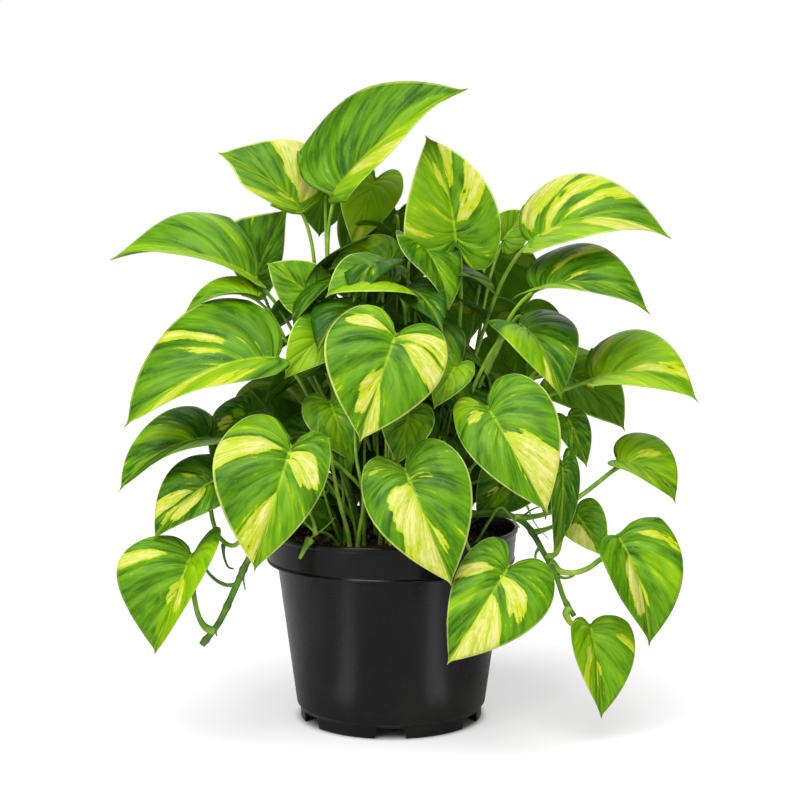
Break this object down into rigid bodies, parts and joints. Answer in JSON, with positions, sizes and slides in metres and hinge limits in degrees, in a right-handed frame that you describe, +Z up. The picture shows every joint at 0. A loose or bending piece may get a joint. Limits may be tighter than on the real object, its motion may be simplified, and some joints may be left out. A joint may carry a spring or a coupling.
{
  "type": "potted pothos plant",
  "caption": "Golden pothos with heart-shaped variegated leaves on long petioles and trailing vines, rooted in soil in a round tapered nursery pot with a rim band.",
  "frame": {"origin": "on the ground under the middle of the pot's foot", "axes": "+Z up, +X to the right as the plant is seen from the front, +Y away from the front"},
  "size_m": [0.361, 0.2257, 0.3936],
  "materials": {
    "pot_plastic": "satin black",
    "potting_soil": "matte, crumbly",
    "green_stem": "satin",
    "variegated_leaf": "waxy, green with cream and yellow streaks"
  },
  "bodies": {
    "root": {"pot": "pot_plastic", "soil": "potting_soil", "left_stem": "green_stem", "front_stem": "green_stem", "right_stem": "green_stem", "back_left_stem": "green_stem", "back_right_stem": "green_stem", "back_stem": "green_stem", "left_vine": "green_stem", "right_vine": "green_stem", "leaf_crown": "variegated_leaf", "leaf_top_left": "variegated_leaf", "leaf_left_high": "variegated_leaf", "leaf_left_upright": "variegated_leaf", "leaf_left_under": "variegated_leaf", "leaf_left_big": "variegated_leaf", "leaf_left_low": "variegated_leaf", "leaf_left_dark": "variegated_leaf", "leaf_left_drop": "variegated_leaf", "leaf_heart_left": "variegated_leaf", "leaf_trail_left": "variegated_leaf", "leaf_heart_centre": "variegated_leaf", "leaf_heart_front": "variegated_leaf", "leaf_heart_right": "variegated_leaf", "leaf_heart_low": "variegated_leaf", "leaf_top_right": "variegated_leaf", "leaf_right_high": "variegated_leaf", "leaf_right_second": "variegated_leaf", "leaf_right_curl": "variegated_leaf", "leaf_right_side": "variegated_leaf", "leaf_right_back": "variegated_leaf", "leaf_right_inner": "variegated_leaf", "leaf_right_small": "variegated_leaf", "leaf_trail_right": "variegated_leaf", "leaf_trail_end": "variegated_leaf", "leaf_pale": "variegated_leaf", "leaf_narrow": "variegated_leaf", "leaf_behind_crown": "variegated_leaf", "leaf_grey": "variegated_leaf", "leaf_mid_left": "variegated_leaf", "leaf_lit": "variegated_leaf", "leaf_small_mid": "variegated_leaf", "leaf_inner_left": "variegated_leaf", "leaf_mid_right": "variegated_leaf", "leaf_dark_top": "variegated_leaf", "leaf_edge_on": "variegated_leaf", "leaf_right_mid": "variegated_leaf", "leaf_rim_right": "variegated_leaf", "leaf_back_top": "variegated_leaf", "leaf_back_left_high": "variegated_leaf", "leaf_back_right_high": "variegated_leaf", "leaf_back_heart_left": "variegated_leaf", "leaf_back_heart": "variegated_leaf", "leaf_back_heart_right": "variegated_leaf", "leaf_back_left": "variegated_leaf", "leaf_back_right": "variegated_leaf", "leaf_back_low_left": "variegated_leaf", "leaf_back_low_right": "variegated_leaf", "leaf_side_low_left": "variegated_leaf", "leaf_side_low_right": "variegated_leaf"}
  },
  "joints": []
}
